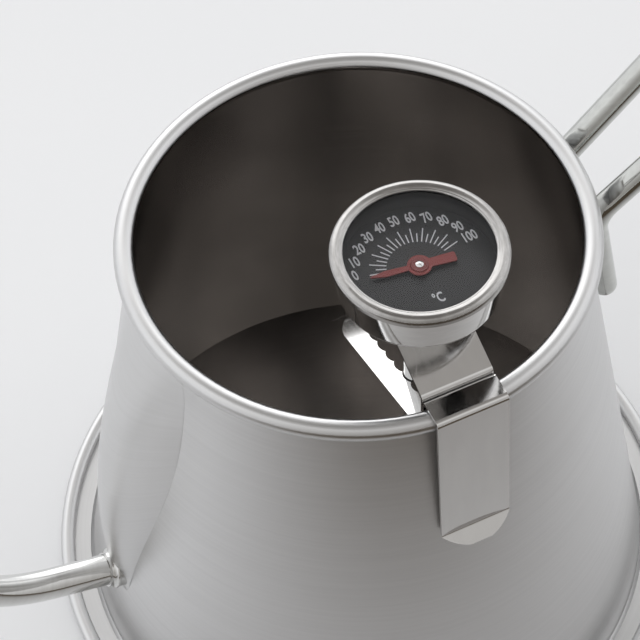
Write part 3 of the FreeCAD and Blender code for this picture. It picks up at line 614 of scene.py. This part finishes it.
@dataclass(frozen=True)
class Coating:
    """Paint, print or rubber: a plain body colour with a fine tooth and faint dust.

    Attributes:
        name: the material's name.
        color: its colour.
        worn: colour of its paler or dustier spots.
        rough: mean roughness.
        swing: how far the grains move the roughness.
        tooth: grains a metre.
        relief: height of the grains.
        spots: strength of the paler spots.
    """

    name: str
    color: Color
    worn: Color
    rough: float
    swing: float = 0.06
    tooth: float = 5000.0
    relief: float = 2e-6
    spots: float = 0.3

    def build(self, effects: Effects) -> bpy.types.Material:
        """Builds the material.

        Args:
            effects: the shared effects.

        Returns:
            The material.
        """
        graph, shader, material = start_material(self.name)
        fine = graph.noise(graph.place(), self.tooth, 2.0, 0.6)
        marks = graph.effect(effects.handling, {"Smudge Scale": 160.0, "Scratch Scale": 300.0})
        share = graph.math("MULTIPLY", graph.math("MULTIPLY", marks["Smudge"], fine), self.spots)
        graph.fill(shader, {
            "Base Color": graph.mixed(share, opaque(self.color), opaque(self.worn)),
            "Roughness": graph.ranged(fine, *CORE, *about(self.rough, self.swing)),
            "Normal": graph.relief(fine, self.relief),
        })
        return material


@dataclass(frozen=True)
class Glass:
    """Clear glass with the faintest smudges.

    Attributes:
        name: the material's name.
        color: its tint.
        smudged: its tint under a smudge.
        smudged_rough: roughness of a smudge.
        ior: index of refraction; a low one keeps the sheen on the dial faint.
    """

    name: str
    color: Color
    smudged: Color = (0.97, 0.975, 0.98)
    smudged_rough: float = 0.02
    ior: float = 1.22

    def build(self, effects: Effects) -> bpy.types.Material:
        """Builds the material.

        Args:
            effects: the shared effects.

        Returns:
            The material.
        """
        graph, shader, material = start_material(self.name)
        marks = graph.effect(effects.handling, {"Smudge Scale": 120.0})
        color = graph.mixed(marks["Smudge"], opaque(self.color), opaque(self.smudged))
        rough = graph.ranged(marks["Smudge"], 0.0, 1.0, 0.0, self.smudged_rough)
        graph.fill(shader, {
            "Base Color": color, "Roughness": rough, "IOR": self.ior, "Transmission Weight": 1.0,
        })
        lit = graph.node("ShaderNodeMixShader")
        through = graph.node("ShaderNodeBsdfTransparent")
        graph.feed(lit.inputs[0], graph.node("ShaderNodeLightPath").outputs["Is Shadow Ray"])
        graph.feed(lit.inputs[1], shader.outputs[0])
        graph.feed(lit.inputs[2], through.outputs[0])
        graph.feed(graph.tree.nodes["Material Output"].inputs["Surface"], lit.outputs[0])
        return material


def about(mean: float, swing: float) -> Range:
    """The range that lies evenly about a mean."""
    return (mean - swing, mean + swing)


def opaque(color: Color) -> tuple[float, float, float, float]:
    """A colour with full alpha."""
    return (*color, 1.0)


def start_material(name: str) -> tuple[Graph, bpy.types.Node, bpy.types.Material]:
    """Starts a node material.

    Args:
        name: its name.

    Returns:
        The graph, the Principled shader, and the material.
    """
    material = bpy.data.materials.new(name)
    material.use_nodes = True
    graph = Graph(material.node_tree)
    return graph, material.node_tree.nodes["Principled BSDF"], material


# ---- Mesh helpers ----
def new_piece(name: str, shape: bmesh.types.BMesh, material: bpy.types.Material) -> bpy.types.Object:
    """Turns a finished shape into an object at the origin.

    Args:
        name: the piece's name.
        shape: its shape, already in place; it is freed.
        material: its finish.

    Returns:
        The object.
    """
    bmesh.ops.recalc_face_normals(shape, faces=shape.faces[:])
    mesh = bpy.data.meshes.new(name)
    shape.to_mesh(mesh)
    shape.free()
    piece = bpy.data.objects.new(name, mesh)
    bpy.context.scene.collection.objects.link(piece)
    piece.data.materials.append(material)
    return piece


def dress_all(finishes: dict[str, bpy.types.Material]) -> list[str]:
    """Gives nodes of the frame their finishes, in every slot that they have.

    Args:
        finishes: node name to its finish.

    Returns:
        The names of the nodes.
    """
    for node, material in finishes.items():
        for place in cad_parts[node].material_slots:
            place.material = material
    return list(finishes)


def middle(node: str) -> Vector:
    """Middle of a node's box at rest."""
    low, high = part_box(node)
    return (low + high) / 2


# ---- The object's sub-assemblies ----
@dataclass
class Vessel:
    """Wall, floor with its brim, and their weld.

    Attributes:
        sheet: thickness of the steel.
        lean: how far the wall leans in from upright, in degrees.
    """

    sheet: float = 0.8 * MM
    lean: float = 10.02

    def dress(self, effects: Effects) -> list[str]:
        """Gives the vessel its finish.

        Args:
            effects: the shared effects.

        Returns:
            Names of the pieces that were dressed.
        """
        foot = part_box("body_shell")[1].x
        slope = math.tan(math.radians(self.lean))
        finish = VesselSteel(
            name="vessel_steel",
            outside=(0.69, 0.69, 0.692),
            # painted shade: a darker inside colour stands for the shade in the hollow
            inside=(0.42, 0.40, 0.385),
            base_radius=foot - self.sheet / 2,
            lean=slope,
            floor_level=self.sheet / 2,
        ).build(effects)
        return dress_all({"body_shell": finish, "base_pan": finish, "base_weld": finish})


@dataclass
class Spout:
    """Pressed nose, its collar and the gooseneck tube."""

    def dress(self, effects: Effects) -> list[str]:
        """Gives the spout its finishes.

        Args:
            effects: the shared effects.

        Returns:
            Names of the pieces that were dressed.
        """
        satin = Steel(
            "nose_steel", (0.70, 0.70, 0.702), (0.675, 0.675, 0.675), 0.34, 0.05, Grain.ROUND,
            across=3400.0, along=1.1, relief=3e-6, pull=0.7,
        ).build(effects)
        bright = Steel(
            "tube_steel", (0.72, 0.72, 0.71), (0.66, 0.66, 0.65), 0.1, 0.03, Grain.ROUND,
            across=1500.0, along=9.0, relief=8e-7,
        ).build(effects)
        return dress_all({"spout_nose": satin, "spout_collar": bright, "spout_tube": bright})


@dataclass
class Handle:
    """The bent rod and the rippled welds that hold its legs.

    Attributes:
        voxel: fineness of the weld's skin.
        pitch: ripple to ripple along the weld.
        ripple: height of a ripple.
        slant: how far the ripples lag at the weld's sides, as a share of the pitch.
        smoothing: strength of the last smoothing.
        join: mesh corners nearer than this are one.
    """

    voxel: float = 0.16 * MM
    pitch: float = 1.1 * MM
    ripple: float = 0.16 * MM
    slant: float = 0.35
    smoothing: float = 0.4
    join: float = 0.001 * MM

    def dress(self, effects: Effects) -> list[str]:
        """Gives the rod its finish and builds the welds.

        Args:
            effects: the shared effects.

        Returns:
            Names of the pieces that were dressed or built.
        """
        rod = Steel(
            "rod_steel", (0.58, 0.59, 0.57), (0.51, 0.515, 0.50), 0.09, 0.04, Grain.ALONG,
            across=2600.0, along=700.0, relief=1.5e-6, smudges=0.25,
        ).build(effects)
        bead = Steel(
            "weld_steel", (0.50, 0.49, 0.47), (0.34, 0.31, 0.28), 0.34, 0.08, Grain.ALONG,
            across=1800.0, along=900.0, relief=4e-6, smudges=0.6,
        ).build(effects)
        welds = self._welds(bead)
        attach(welds, "kettle")
        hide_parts("handle_welds")
        return [*dress_all({"handle_loop": rod}), welds.name]

    def _welds(self, material: bpy.types.Material) -> bpy.types.Object:
        """The fillet welds with the ripples that the torch leaves.

        Args:
            material: their finish.

        Returns:
            The finished piece.
        """
        shape = bmesh.new()
        shape.from_mesh(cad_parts["handle_welds"].data)
        bmesh.ops.remove_doubles(shape, verts=shape.verts[:], dist=self.join)
        piece = new_piece("weld_ripples", shape, material)
        remesh = piece.modifiers.new("skin", "REMESH")
        remesh.mode = "VOXEL"
        remesh.voxel_size = self.voxel
        graph = bpy.context.evaluated_depsgraph_get()
        skin = bpy.data.meshes.new_from_object(piece.evaluated_get(graph))
        piece.modifiers.clear()
        piece.data = skin
        shape = bmesh.new()
        shape.from_mesh(skin)
        shape.normal_update()
        for vert in shape.verts:
            along = vert.co.z + self.slant * abs(vert.normal.y) * self.pitch
            wave = abs(math.sin(math.pi * along / self.pitch))
            vert.co += vert.normal * self.ripple * (wave - 0.5)
        bmesh.ops.smooth_vert(shape, verts=shape.verts[:], factor=self.smoothing)
        for face in shape.faces:
            face.smooth = True
        shape.to_mesh(skin)
        shape.free()
        if not skin.materials:
            skin.materials.append(material)
        return piece


@dataclass
class Clip:
    """The hook over the rim, the folded stem clip and their rivets."""

    def dress(self, effects: Effects) -> list[str]:
        """Gives the clip its finishes.

        Args:
            effects: the shared effects.

        Returns:
            Names of the pieces that were dressed.
        """
        strip = Steel(
            "clip_steel", (0.80, 0.795, 0.79), (0.74, 0.735, 0.73), 0.06, 0.03, Grain.ALONG,
            across=2400.0, along=40.0, relief=8e-7, smudges=0.3, scratches=0.4, edge=0.5,
        ).build(effects)
        rivet = Steel(
            "rivet_steel", (0.55, 0.54, 0.53), (0.44, 0.43, 0.42), 0.22, 0.05, Grain.ALONG,
            across=3000.0, along=400.0, relief=1.5e-6, edge=0.4,
        ).build(effects)
        return dress_all({"rim_hook": strip, "stem_clip": strip, "clip_rivets": rivet})


@dataclass
class DialPrint:
    """Raised print of the dial: ticks, figures and the unit.

    Attributes:
        last: the scale's last value.
        step: value from tick to tick.
        named: value from figure to figure.
        first_angle: direction of 0 on the dial, in degrees; 90 is the top of the print.
        turn: degrees for each value.
        inner: inner end of every tick.
        outer: outer end of the ticks that have a figure.
        outer_short: outer end of the others.
        width: width of a tick.
        raise_: height of the print over the dial.
        figure_radius: distance of the figures' middles from the axis.
        figure_lag: degrees by which the figures stand past their ticks.
        figure_height: height of a figure.
        squeeze: width of a figure against the type's own.
        boldness: how far the type's outline is pushed out, as a share of its size.
        unit_drop: the unit's middle lies this far below the axis.
    """

    last: int = 100
    step: int = 5
    named: int = 10
    first_angle: float = 164.5
    turn: float = 1.5
    inner: float = 6.05 * MM
    outer: float = 9.25 * MM
    outer_short: float = 8.0 * MM
    width: float = 0.22 * MM
    raise_: float = 0.05 * MM
    figure_radius: float = 11.9 * MM
    figure_lag: float = 2.5
    figure_height: float = 2.4 * MM
    squeeze: float = 0.62
    boldness: float = 0.019
    unit_drop: float = 7.6 * MM

    def build(self, material: bpy.types.Material) -> list[bpy.types.Object]:
        """Builds the print on the dial.

        Args:
            material: the ink.

        Returns:
            The pieces.
        """
        low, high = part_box("dial_plate")
        top = Vector((*(low + high).xy / 2, high.z))
        pieces = [self._ticks(top, material), self._figures(top, material), self._unit(top, material)]
        for piece in pieces:
            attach(piece, "thermometer")
        return pieces

    def _direction(self, value: int, lag: float = 0.0) -> Vector:
        """Direction of a value on the dial; the print's top points to -Y and its right to -X.

        Args:
            value: a value of the scale.
            lag: degrees past it.

        Returns:
            The unit vector.
        """
        angle = math.radians(self.first_angle - self.turn * value - lag)
        return Vector((-math.cos(angle), -math.sin(angle), 0.0))

    def _ticks(self, top: Vector, material: bpy.types.Material) -> bpy.types.Object:
        """The ticks, long at each figure.

        Args:
            top: middle of the dial's face.
            material: the ink.

        Returns:
            The piece.
        """
        shape = bmesh.new()
        for value in range(0, self.last + 1, self.step):
            ahead = self._direction(value)
            end = self.outer if value % self.named == 0 else self.outer_short
            middle_r = (self.inner + end) / 2
            size = Matrix.Diagonal((end - self.inner, self.width, self.raise_, 1.0))
            turn = Matrix.Rotation(math.atan2(ahead.y, ahead.x), 4, "Z")
            move = Matrix.Translation(top + ahead * middle_r + Vector((0, 0, self.raise_ / 2)))
            bmesh.ops.create_cube(shape, size=1.0, matrix=move @ turn @ size)
        upper = [edge for edge in shape.edges if all(v.co.z > top.z + self.raise_ / 2 for v in edge.verts)]
        bmesh.ops.bevel(
            shape, geom=upper, offset=self.raise_ / 3, segments=2, profile=0.5, affect="EDGES", material=-1
        )
        return new_piece("dial_ticks", shape, material)

    def _figures(self, top: Vector, material: bpy.types.Material) -> bpy.types.Object:
        """The upright figures round the scale.

        Args:
            top: middle of the dial's face.
            material: the ink.

        Returns:
            The piece.
        """
        shape = bmesh.new()
        for value in range(0, self.last + 1, self.named):
            centre = top + self._direction(value, self.figure_lag) * self.figure_radius
            self._write(shape, str(value), centre)
        return new_piece("dial_figures", shape, material)

    def _unit(self, top: Vector, material: bpy.types.Material) -> bpy.types.Object:
        """The unit below the hub.

        Args:
            top: middle of the dial's face.
            material: the ink.

        Returns:
            The piece.
        """
        shape = bmesh.new()
        self._write(shape, "°C", top + Vector((0, self.unit_drop, 0)))
        return new_piece("dial_unit", shape, material)

    def _write(self, shape: bmesh.types.BMesh, words: str, centre: Vector) -> None:
        """Adds words to a shape, read from +Y.

        Args:
            shape: the shape that they are added to.
            words: what is written.
            centre: the middle of the words on the dial's face.
        """
        curve = bpy.data.curves.new("type", "FONT")
        curve.body = words
        curve.align_x = "CENTER"
        curve.align_y = "CENTER"
        curve.size = 1.0
        curve.extrude = 0.5
        curve.offset = self.boldness
        curve.resolution_u = 3
        writer = bpy.data.objects.new("type", curve)
        bpy.context.scene.collection.objects.link(writer)
        graph = bpy.context.evaluated_depsgraph_get()
        mesh = bpy.data.meshes.new_from_object(writer.evaluated_get(graph))
        bpy.data.objects.remove(writer)
        bpy.data.curves.remove(curve)
        wide = [vert.co.x for vert in mesh.vertices]
        tall = [vert.co.y for vert in mesh.vertices]
        to_middle = Vector((-(max(wide) + min(wide)) / 2, -(max(tall) + min(tall)) / 2, 0.0))
        scale = self.figure_height / (max(tall) - min(tall))
        size = Matrix.Diagonal((scale * self.squeeze, scale, self.raise_, 1.0))
        turn = Matrix.Rotation(math.pi, 4, "Z")
        move = Matrix.Translation(centre + Vector((0, 0, self.raise_ / 2)))
        mesh.transform(move @ turn @ size @ Matrix.Translation(to_middle))
        shape.from_mesh(mesh)
        bpy.data.meshes.remove(mesh)


@dataclass
class Thermometer:
    """Case, bezel, lens, dial with its print, stem and what is inside it.

    Attributes:
        dial_print: the dial's print.
    """

    dial_print: DialPrint = field(default_factory=DialPrint)

    def dress(self, effects: Effects) -> list[str]:
        """Gives the thermometer its finishes and prints the dial.

        Args:
            effects: the shared effects.

        Returns:
            Names of the pieces that were dressed.
        """
        axis = middle("case_cup").y
        case = Steel(
            "case_steel", (0.74, 0.735, 0.73), (0.68, 0.675, 0.67), 0.05, 0.02, Grain.ROUND,
            across=2600.0, along=4.0, relief=4e-7, axis_y=axis, scratches=0.3,
        ).build(effects)
        bezel = Steel(
            "bezel_steel", (0.52, 0.51, 0.50), (0.40, 0.39, 0.38), 0.22, 0.06, Grain.ROUND,
            across=5200.0, along=5.0, relief=2e-6, axis_y=axis, edge=0.3,
        ).build(effects)
        stem = Steel(
            "stem_steel", (0.62, 0.62, 0.615), (0.54, 0.54, 0.535), 0.16, 0.04, Grain.ROUND,
            across=1600.0, along=5.0, relief=8e-7, axis_y=axis,
        ).build(effects)
        brass = Steel(
            "bush_brass", (0.72, 0.55, 0.28), (0.58, 0.42, 0.2), 0.25, 0.05, Grain.ROUND,
            across=3000.0, along=5.0, axis_y=axis,
        ).build(effects)
        bimetal = Steel(
            "coil_metal", (0.60, 0.52, 0.42), (0.48, 0.4, 0.32), 0.3, 0.05, Grain.ROUND,
            across=3000.0, along=5.0, axis_y=axis,
        ).build(effects)
        black = Coating("dial_black", (0.008, 0.008, 0.0095), (0.02, 0.02, 0.023), 0.5).build(effects)
        rubber = Coating("seal_rubber", (0.02, 0.02, 0.02), (0.05, 0.05, 0.05), 0.75).build(effects)
        ink = Coating("dial_ink", (0.50, 0.51, 0.53), (0.40, 0.41, 0.43), 0.6).build(effects)
        glass = Glass("lens_glass", (1.0, 1.0, 1.0)).build(effects)
        finishes = {
            "case_cup": case, "bezel_ring": bezel, "stem_ferrule": case, "stem_tube": stem,
            "stem_plug": stem, "upper_bush": brass, "lower_bush": brass, "bimetal_coil": bimetal,
            "dial_plate": black, "dial_ring": black, "dial_support": stem, "lens_gasket": rubber,
            "lens": glass,
        }
        return [*dress_all(finishes), *(piece.name for piece in self.dial_print.build(ink))]


@dataclass
class Movement:
    """The spindle with the red pointer, its boss and the bright cap."""

    def dress(self, effects: Effects) -> list[str]:
        """Gives the movement its finishes.

        Args:
            effects: the shared effects.

        Returns:
            Names of the pieces that were dressed.
        """
        axis = middle("pointer_pin").y
        red = Coating("pointer_red", (0.17, 0.022, 0.02), (0.3, 0.07, 0.06), 0.45).build(effects)
        boss = Coating("boss_red", (0.13, 0.018, 0.017), (0.25, 0.06, 0.05), 0.4).build(effects)
        cap = Steel(
            "cap_bright", (0.78, 0.78, 0.78), (0.68, 0.68, 0.68), 0.1, 0.03, Grain.ROUND,
            across=5000.0, along=5.0, relief=4e-7, axis_y=axis,
        ).build(effects)
        return dress_all({"pointer": red, "pointer_boss": boss, "pointer_pin": cap, "spindle": cap})


# ---- Studio ----
def bearing(azimuth: float, level: float, up: float) -> tuple[float, float, float]:
    """A direction in the frame.

    Args:
        azimuth: degrees from +X.
        level: length of its level part.
        up: its upright part.

    Returns:
        The direction.
    """
    return (level * math.cos(math.radians(azimuth)), level * math.sin(math.radians(azimuth)), up)


@dataclass(frozen=True)
class Patch:
    """A round patch of other light in the surroundings, with a soft edge.

    Attributes:
        toward: direction of its middle.
        color: its light.
        edge: cosine of the angle from its middle at which it starts.
        core: cosine of the angle from its middle at which it is whole.
        share: how much it covers what lies behind it.
    """

    toward: tuple[float, float, float]
    color: Color
    edge: float
    core: float
    share: float


@dataclass
class Studio:
    """Camera, pale floor, a soft lamp, and the light that stands round the object.

    Attributes:
        aim: the point that the camera looks at.
        azimuth: camera's direction from the aim, in degrees from +X.
        elevation: camera's height over the aim, in degrees.
        roll: the camera's turn about its own line of sight, in degrees.
        distance: from the aim to the camera.
        lens: focal length in millimetres.
        sensor: width of the sensor in millimetres.
        floor_size: side of the floor.
        floor_gap: the floor lies this far under the base.
        floor_colors: the floor's colour in its darker and paler clouds.
        lamp_place: where the lamp hangs.
        lamp_size: its side.
        lamp_power: its power in watts.
        shade_azimuth: direction of the soft dark shade in front, in degrees from +X.
        shade_distance: distance of its middle.
        shade_radius: its radius.
        shade_fade: width of its soft edge.
        shade_lift: its height.
        shade_colors: its light in its darker and paler clouds.
        sky: light of the surroundings from straight down (0) to straight up (1).
        patches: the dim front, a faint lamp in the ceiling and the bright window behind.
    """

    aim: tuple[float, float, float] = (4.8 * MM, -9.8 * MM, 70.0 * MM)
    azimuth: float = 66.98
    elevation: float = 53.54
    roll: float = 2.97
    distance: float = 484.9 * MM
    lens: float = 129.375
    sensor: float = 36.0
    floor_size: float = 12.0
    floor_gap: float = 0.1 * MM
    floor_colors: tuple[Color, Color] = ((0.85, 0.86, 0.88), (0.88, 0.885, 0.895))
    lamp_place: tuple[float, float, float] = (0.3, 0.2, 1.5)
    lamp_size: float = 1.4
    lamp_power: float = 4.0
    shade_azimuth: float = 82.0
    shade_distance: float = 1.20
    shade_radius: float = 1.19
    shade_fade: float = 0.2
    shade_lift: float = 0.05 * MM
    shade_colors: tuple[Color, Color] = ((0.085, 0.066, 0.048), (0.11, 0.088, 0.066))
    sky: tuple[tuple[float, Color], ...] = (
        (0.0, (0.82, 0.83, 0.85)), (0.5, (1.12, 1.13, 1.15)), (0.90, (1.1, 1.1, 1.1)),
        (0.955, (0.30, 0.285, 0.27)), (1.0, (0.24, 0.23, 0.22)),
    )
    patches: tuple[Patch, ...] = (
        Patch(bearing(82.0, 1.0, 0.0), (0.28, 0.26, 0.235), 0.1, 0.9, 0.8),
        Patch(bearing(133.0, 0.34, 0.94), (1.0, 0.98, 0.95), 0.985, 0.997, 0.12),
        Patch((-0.2, -0.91, 0.36), (2.1, 2.1, 2.1), 0.84, 0.96, 1.0),
    )

    def build(self) -> None:
        """Builds the whole studio."""
        self._camera()
        self._floor()
        self._lamp()
        self._shade()
        self._surroundings()
        bpy.context.scene.view_settings.view_transform = "Standard"

    def _camera(self) -> None:
        """Places the camera and makes it the scene's own."""
        camera = bpy.data.cameras.new("camera")
        camera.lens = self.lens
        camera.sensor_width = self.sensor
        camera.clip_start = 0.01
        holder = bpy.data.objects.new("camera", camera)
        bpy.context.scene.collection.objects.link(holder)
        tilt = math.radians(self.elevation)
        away = Vector(bearing(self.azimuth, math.cos(tilt), math.sin(tilt)))
        facing = away.to_track_quat("Z", "Y").to_matrix().to_4x4()
        roll = Matrix.Rotation(math.radians(-self.roll), 4, "Z")
        holder.matrix_world = Matrix.Translation(Vector(self.aim) + away * self.distance) @ facing @ roll
        bpy.context.scene.camera = holder

    def _floor(self) -> None:
        """Lays a pale floor just under the base."""
        graph, shader, material = start_material("studio_floor")
        cloud = graph.noise(graph.place(), 6.0, 3.0)
        color = graph.mixed(cloud, *(opaque(color) for color in self.floor_colors))
        rough = graph.ranged(graph.noise(graph.place(), 300.0, 2.0), *CORE, 0.8, 0.95)
        graph.fill(shader, {"Base Color": color, "Roughness": rough, "Specular IOR Level": 0.1})
        shape = bmesh.new()
        drop = Matrix.Translation((0.0, 0.0, -self.floor_gap))
        bmesh.ops.create_grid(shape, x_segments=4, y_segments=4, size=self.floor_size / 2, matrix=drop)
        new_piece("floor", shape, material)

    def _lamp(self) -> None:
        """Hangs the square soft lamp that faces the object; the metal doesn't mirror it."""
        light = bpy.data.lights.new("overhead", "AREA")
        light.size = self.lamp_size
        light.energy = self.lamp_power
        holder = bpy.data.objects.new("overhead", light)
        bpy.context.scene.collection.objects.link(holder)
        away = Vector(self.lamp_place) - Vector(self.aim)
        facing = away.to_track_quat("Z", "Y").to_matrix().to_4x4()
        holder.matrix_world = Matrix.Translation(self.lamp_place) @ facing
        holder.visible_glossy = False

    def _shade(self) -> None:
        """Lays a soft dark shade on the floor in front; only the metal's reflections see it."""
        graph, shader, material = start_material("studio_shade")
        x, y, _ = graph.parts(graph.place())
        centre = Vector(bearing(self.shade_azimuth, self.shade_distance, self.shade_lift))
        off_x = graph.math("SUBTRACT", x, centre.x)
        off_y = graph.math("SUBTRACT", y, centre.y)
        away = graph.vector("LENGTH", graph.joined(off_x, off_y, 0.0))
        share = graph.ranged(away, self.shade_radius - self.shade_fade, self.shade_radius, 1.0, 0.0)
        grey = graph.noise(graph.place(), 4.0, 2.0)
        graph.fill(shader, {
            "Base Color": opaque((0.0, 0.0, 0.0)), "Emission Strength": 1.0, "Specular IOR Level": 0.0,
            "Emission Color": graph.mixed(grey, *(opaque(color) for color in self.shade_colors)),
            "Alpha": share,
        })
        shape = bmesh.new()
        place = Matrix.Translation(centre)
        bmesh.ops.create_grid(shape, x_segments=1, y_segments=1, size=self.shade_radius, matrix=place)
        shade = new_piece("shade", shape, material)
        shade.visible_camera = False
        shade.visible_diffuse = False
        shade.visible_shadow = False

    def _surroundings(self) -> None:
        """Light from all round: bright walls, a dim ceiling, and the patches."""
        world = bpy.data.worlds.new("surroundings")
        bpy.context.scene.world = world
        world.use_nodes = True
        graph = Graph(world.node_tree)
        background = world.node_tree.nodes["Background"]
        direction = graph.node("ShaderNodeTexCoord").outputs["Generated"]
        _, _, up = graph.parts(direction)
        ramp = graph.node("ShaderNodeValToRGB")
        graph.feed(ramp.inputs[0], graph.ranged(up, -1.0, 1.0, 0.0, 1.0))
        for number, (height, color) in enumerate(self.sky):
            stop = ramp.color_ramp.elements[number] if number < 2 else ramp.color_ramp.elements.new(height)
            stop.position = height
            stop.color = opaque(color)
        light = ramp.outputs[0]
        for patch in self.patches:
            near = graph.vector("DOT_PRODUCT", direction, patch.toward)
            share = graph.ranged(near, patch.edge, patch.core, 0.0, patch.share)
            light = graph.mixed(share, light, opaque(patch.color))
        graph.feed(background.inputs["Color"], light)


def main() -> None:
    """Dresses the object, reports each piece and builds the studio."""
    effects = Effects()
    for assembly in (Vessel(), Spout(), Handle(), Clip(), Thermometer(), Movement()):
        for piece in assembly.dress(effects):
            log.info("%s: %s", type(assembly).__name__, piece)
    Studio().build()
    log.info("Studio: camera, floor, lamp, shade and surroundings")


if __name__ == "__main__":
    main()
